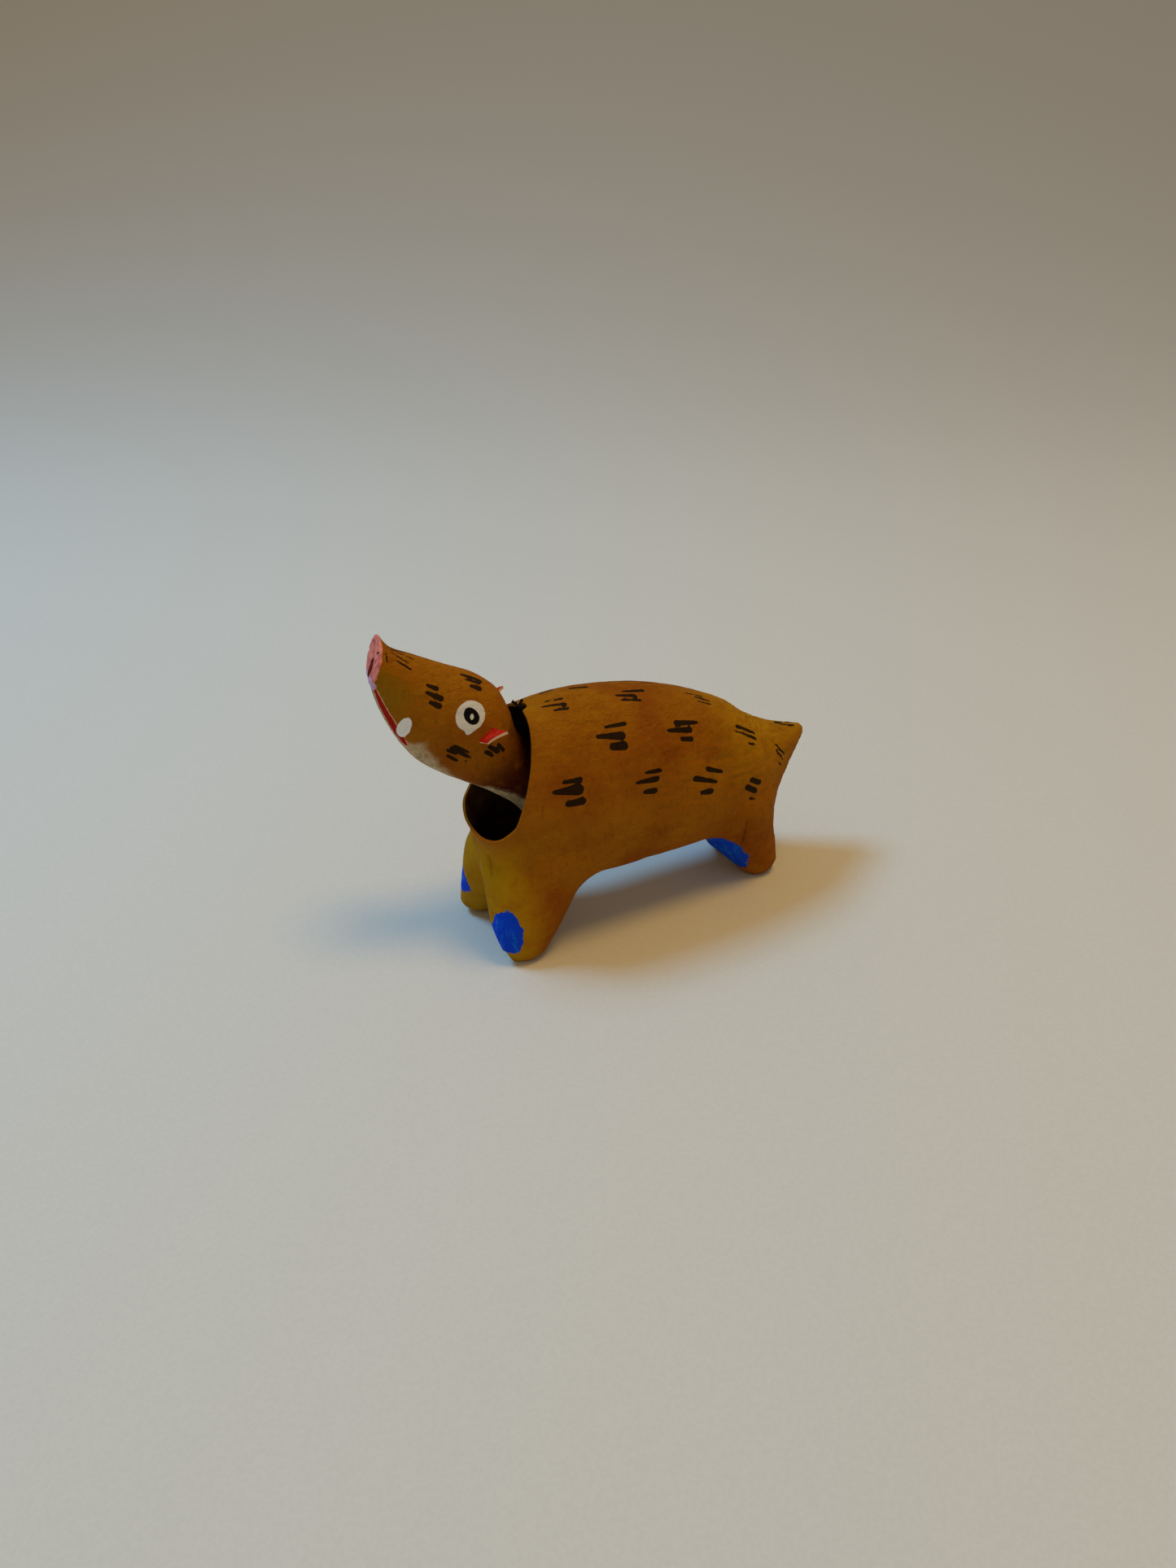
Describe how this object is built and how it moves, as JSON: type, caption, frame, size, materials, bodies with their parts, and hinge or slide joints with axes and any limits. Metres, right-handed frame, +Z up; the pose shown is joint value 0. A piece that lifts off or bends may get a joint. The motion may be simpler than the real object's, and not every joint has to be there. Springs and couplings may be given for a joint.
{
  "type": "papier-mache boar with a nodding head",
  "caption": "Small hollow papier-mache boar on flat feet; its separate head hangs in the neck opening on a thread and nods and turns.",
  "frame": {"origin": "on the floor, midway between the snout and the tail", "axes": "+X from the head to the tail, +Y to the boar's right, +Z up"},
  "size_m": [0.1016, 0.0293, 0.0733],
  "materials": {
    "ochre_paper": "layered paper, hand-painted matt to satin ochre brown",
    "red_card": "thin card, painted red, bare cream at the cut edge",
    "black_thread": "twisted black cotton thread"
  },
  "bodies": {
    "trunk": {"body": "ochre_paper"},
    "hanger": {"hanging_thread": "black_thread"},
    "hanging_head": {"head": "ochre_paper", "left_ear": "red_card", "right_ear": "red_card"}
  },
  "joints": [
    {"name": "head_turn", "type": "hinge", "parent": "trunk", "child": "hanger", "pos_m": [-0.0221, 0, 0.0528], "axis": [0, 0, 1], "range_deg": [0, 30]},
    {"name": "head_nod", "type": "hinge", "parent": "hanger", "child": "hanging_head", "pos_m": [-0.0221, 0, 0.0528], "axis": [0.2756, 0.9613, 0], "range_deg": [-8, 12]}
  ]
}
